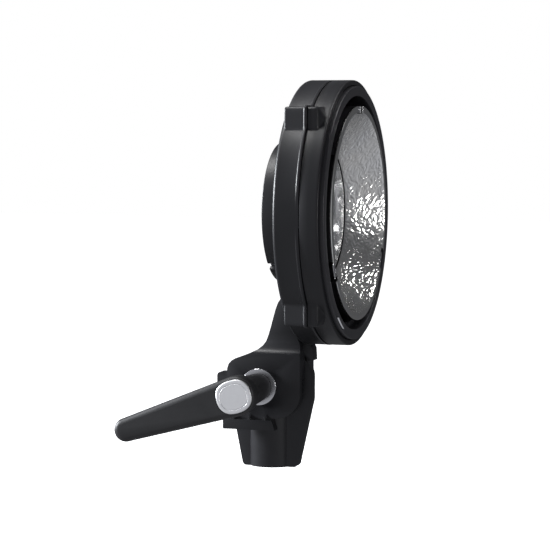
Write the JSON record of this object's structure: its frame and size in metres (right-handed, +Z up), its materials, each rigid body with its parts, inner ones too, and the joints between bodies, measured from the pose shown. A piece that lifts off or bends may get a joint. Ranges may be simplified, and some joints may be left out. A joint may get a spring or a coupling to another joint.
{
  "type": "flash head reflector adapter with tilt bracket",
  "caption": "Round reflector adapter for a small flash head, with a hammered dish, bayonet lock ring, tilting fork, clamp lever and stand socket.",
  "frame": {"origin": "centre of the stand socket's mouth, on the stud bore's axis", "axes": "+Z up along the stud bore, +X the way the dish looks, clamp lever on the -Y side"},
  "size_m": [0.1281, 0.1512, 0.2231],
  "materials": {
    "black_plastic": "satin moulded glass-filled nylon",
    "ring_plastic": "satin dark grey",
    "lever_plastic": "fine sand-textured black",
    "hammered_aluminium": "hammered, bright anodised",
    "polished_aluminium": "polished",
    "badge_aluminium": "fine matte",
    "steel": "zinc plated",
    "dark_steel": "black oxide",
    "brass": "plain turned",
    "friction_fibre": "dull pressed fibre"
  },
  "bodies": {
    "bracket": {"stand_socket": "black_plastic", "pivot_bush": "steel", "friction_disc_near": "friction_fibre", "friction_disc_far": "friction_fibre", "stand_screw_insert": "brass"},
    "head": {"tilt_fork": "black_plastic", "fork_screw_1": "dark_steel", "fork_screw_2": "dark_steel", "rear_housing": "black_plastic", "lamp_collar": "black_plastic", "front_housing": "black_plastic", "housing_screw_1": "dark_steel", "housing_screw_2": "dark_steel", "housing_screw_3": "dark_steel", "housing_screw_4": "dark_steel", "bayonet_drum": "black_plastic", "drum_screw_1": "dark_steel", "drum_screw_2": "dark_steel", "drum_screw_3": "dark_steel", "reflector": "hammered_aluminium", "reflector_clip_1": "steel", "reflector_clip_2": "steel", "reflector_clip_3": "steel", "throat_sleeve": "polished_aluminium", "clamp_bolt": "dark_steel", "clamp_washer": "steel"},
    "lock_ring": {"lock_ring": "ring_plastic", "ring_catch": "steel"},
    "clamp_nut": {"lever_insert": "steel", "lever_screw": "steel", "lever_spring": "steel"},
    "lever": {"lever_handle": "lever_plastic", "lever_badge": "badge_aluminium"},
    "shoe": {"clamp_shoe": "brass"},
    "stand_knob": {"stand_knob": "black_plastic", "stand_screw": "steel"}
  },
  "joints": [
    {"name": "tilt", "type": "hinge", "parent": "bracket", "child": "head", "pos_m": [-0.0026, 0, 0.0475], "axis": [0, 1, 0], "range_deg": [-90, 50]},
    {"name": "clamp_turn", "type": "hinge", "parent": "head", "child": "clamp_nut", "pos_m": [-0.0026, 0, 0.0475], "axis": [0, -1, 0], "range_deg": [0, 100]},
    {"name": "lever_lift", "type": "slide", "parent": "clamp_nut", "child": "lever", "axis": [0, -1, 0], "range_m": [0, 0.004], "stiffness_N_per_m": 400, "springref_m": -0.004, "deforming": ["lever_spring"]},
    {"name": "lock_ring_turn", "type": "hinge", "parent": "head", "child": "lock_ring", "pos_m": [0.0456, 0, 0.1475], "axis": [1, 0, 0], "range_deg": [0, 18]},
    {"name": "shoe_press", "type": "slide", "parent": "bracket", "child": "shoe", "axis": [0, -1, 0], "range_m": [0, 0.0016]},
    {"name": "stand_knob_turn", "type": "hinge", "parent": "shoe", "child": "stand_knob", "pos_m": [0, 0.0246, 0.009], "axis": [0, -1, 0], "range_deg": [0, 720]}
  ],
  "couplings": [
    {"joint": "stand_knob_turn", "follows": "shoe_press", "rad_per_m": 7854}
  ]
}
